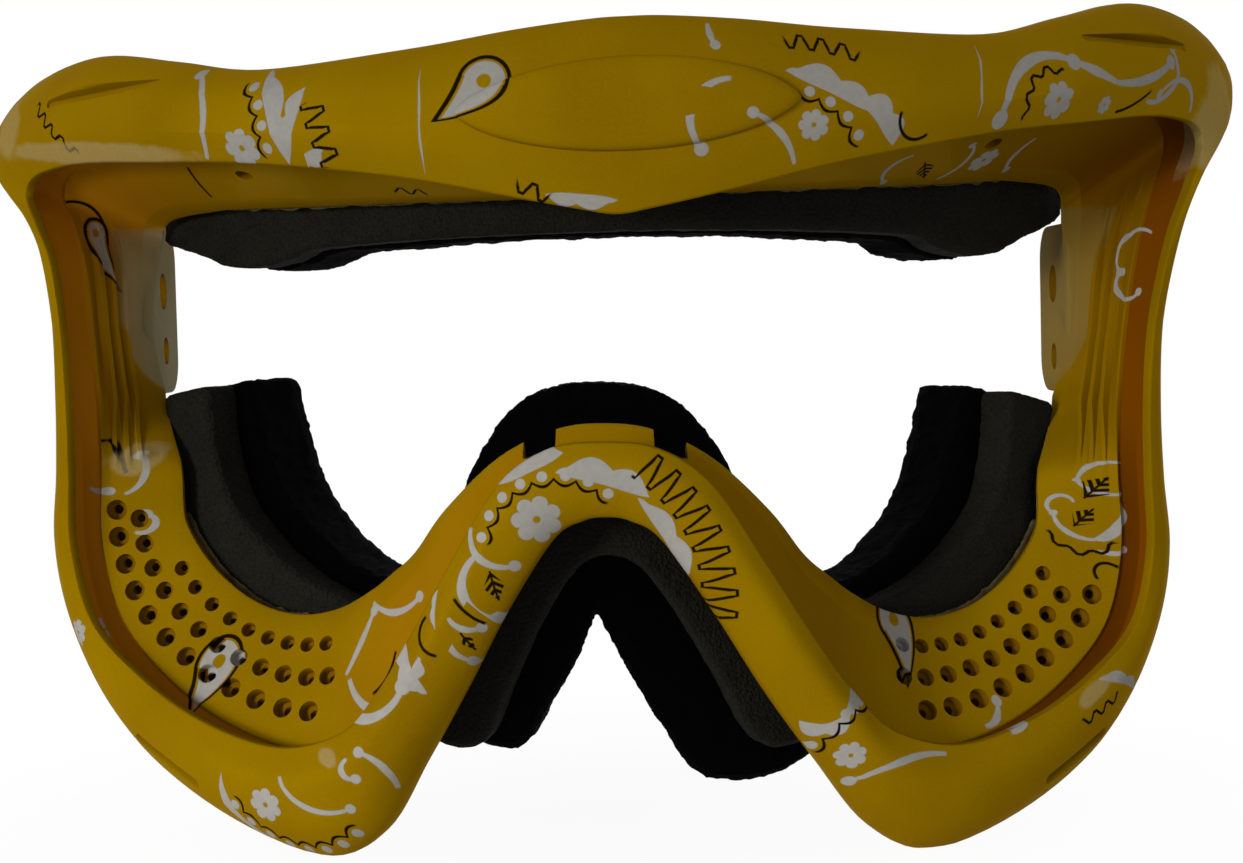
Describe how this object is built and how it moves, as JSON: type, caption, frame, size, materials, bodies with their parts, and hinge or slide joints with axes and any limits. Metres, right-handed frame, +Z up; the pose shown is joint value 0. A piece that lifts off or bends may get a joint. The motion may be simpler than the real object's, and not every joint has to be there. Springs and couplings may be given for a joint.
{
  "type": "goggle frame",
  "caption": "Wraparound sports goggle frame with a lens groove, vented cheek ledges, a nose bridge, strap tabs and glued foam face pads",
  "frame": {"origin": "bottom of the frame, midway across its width and depth", "axes": "X runs across the face to the right as seen from the front, Y back towards the wearer's face, Z up"},
  "size_m": [0.1856, 0.0812, 0.113],
  "materials": {
    "yellow_lacquer": "gloss",
    "clear_glue": "satin",
    "grey_foam": "matte",
    "black_fleece": "matte"
  },
  "bodies": {
    "root": {"goggle_frame": "yellow_lacquer", "brow_glue": "clear_glue", "brow_foam": "grey_foam", "brow_fleece": "black_fleece", "cheek_glue": "clear_glue", "cheek_foam": "grey_foam", "cheek_fleece": "black_fleece"}
  },
  "joints": []
}
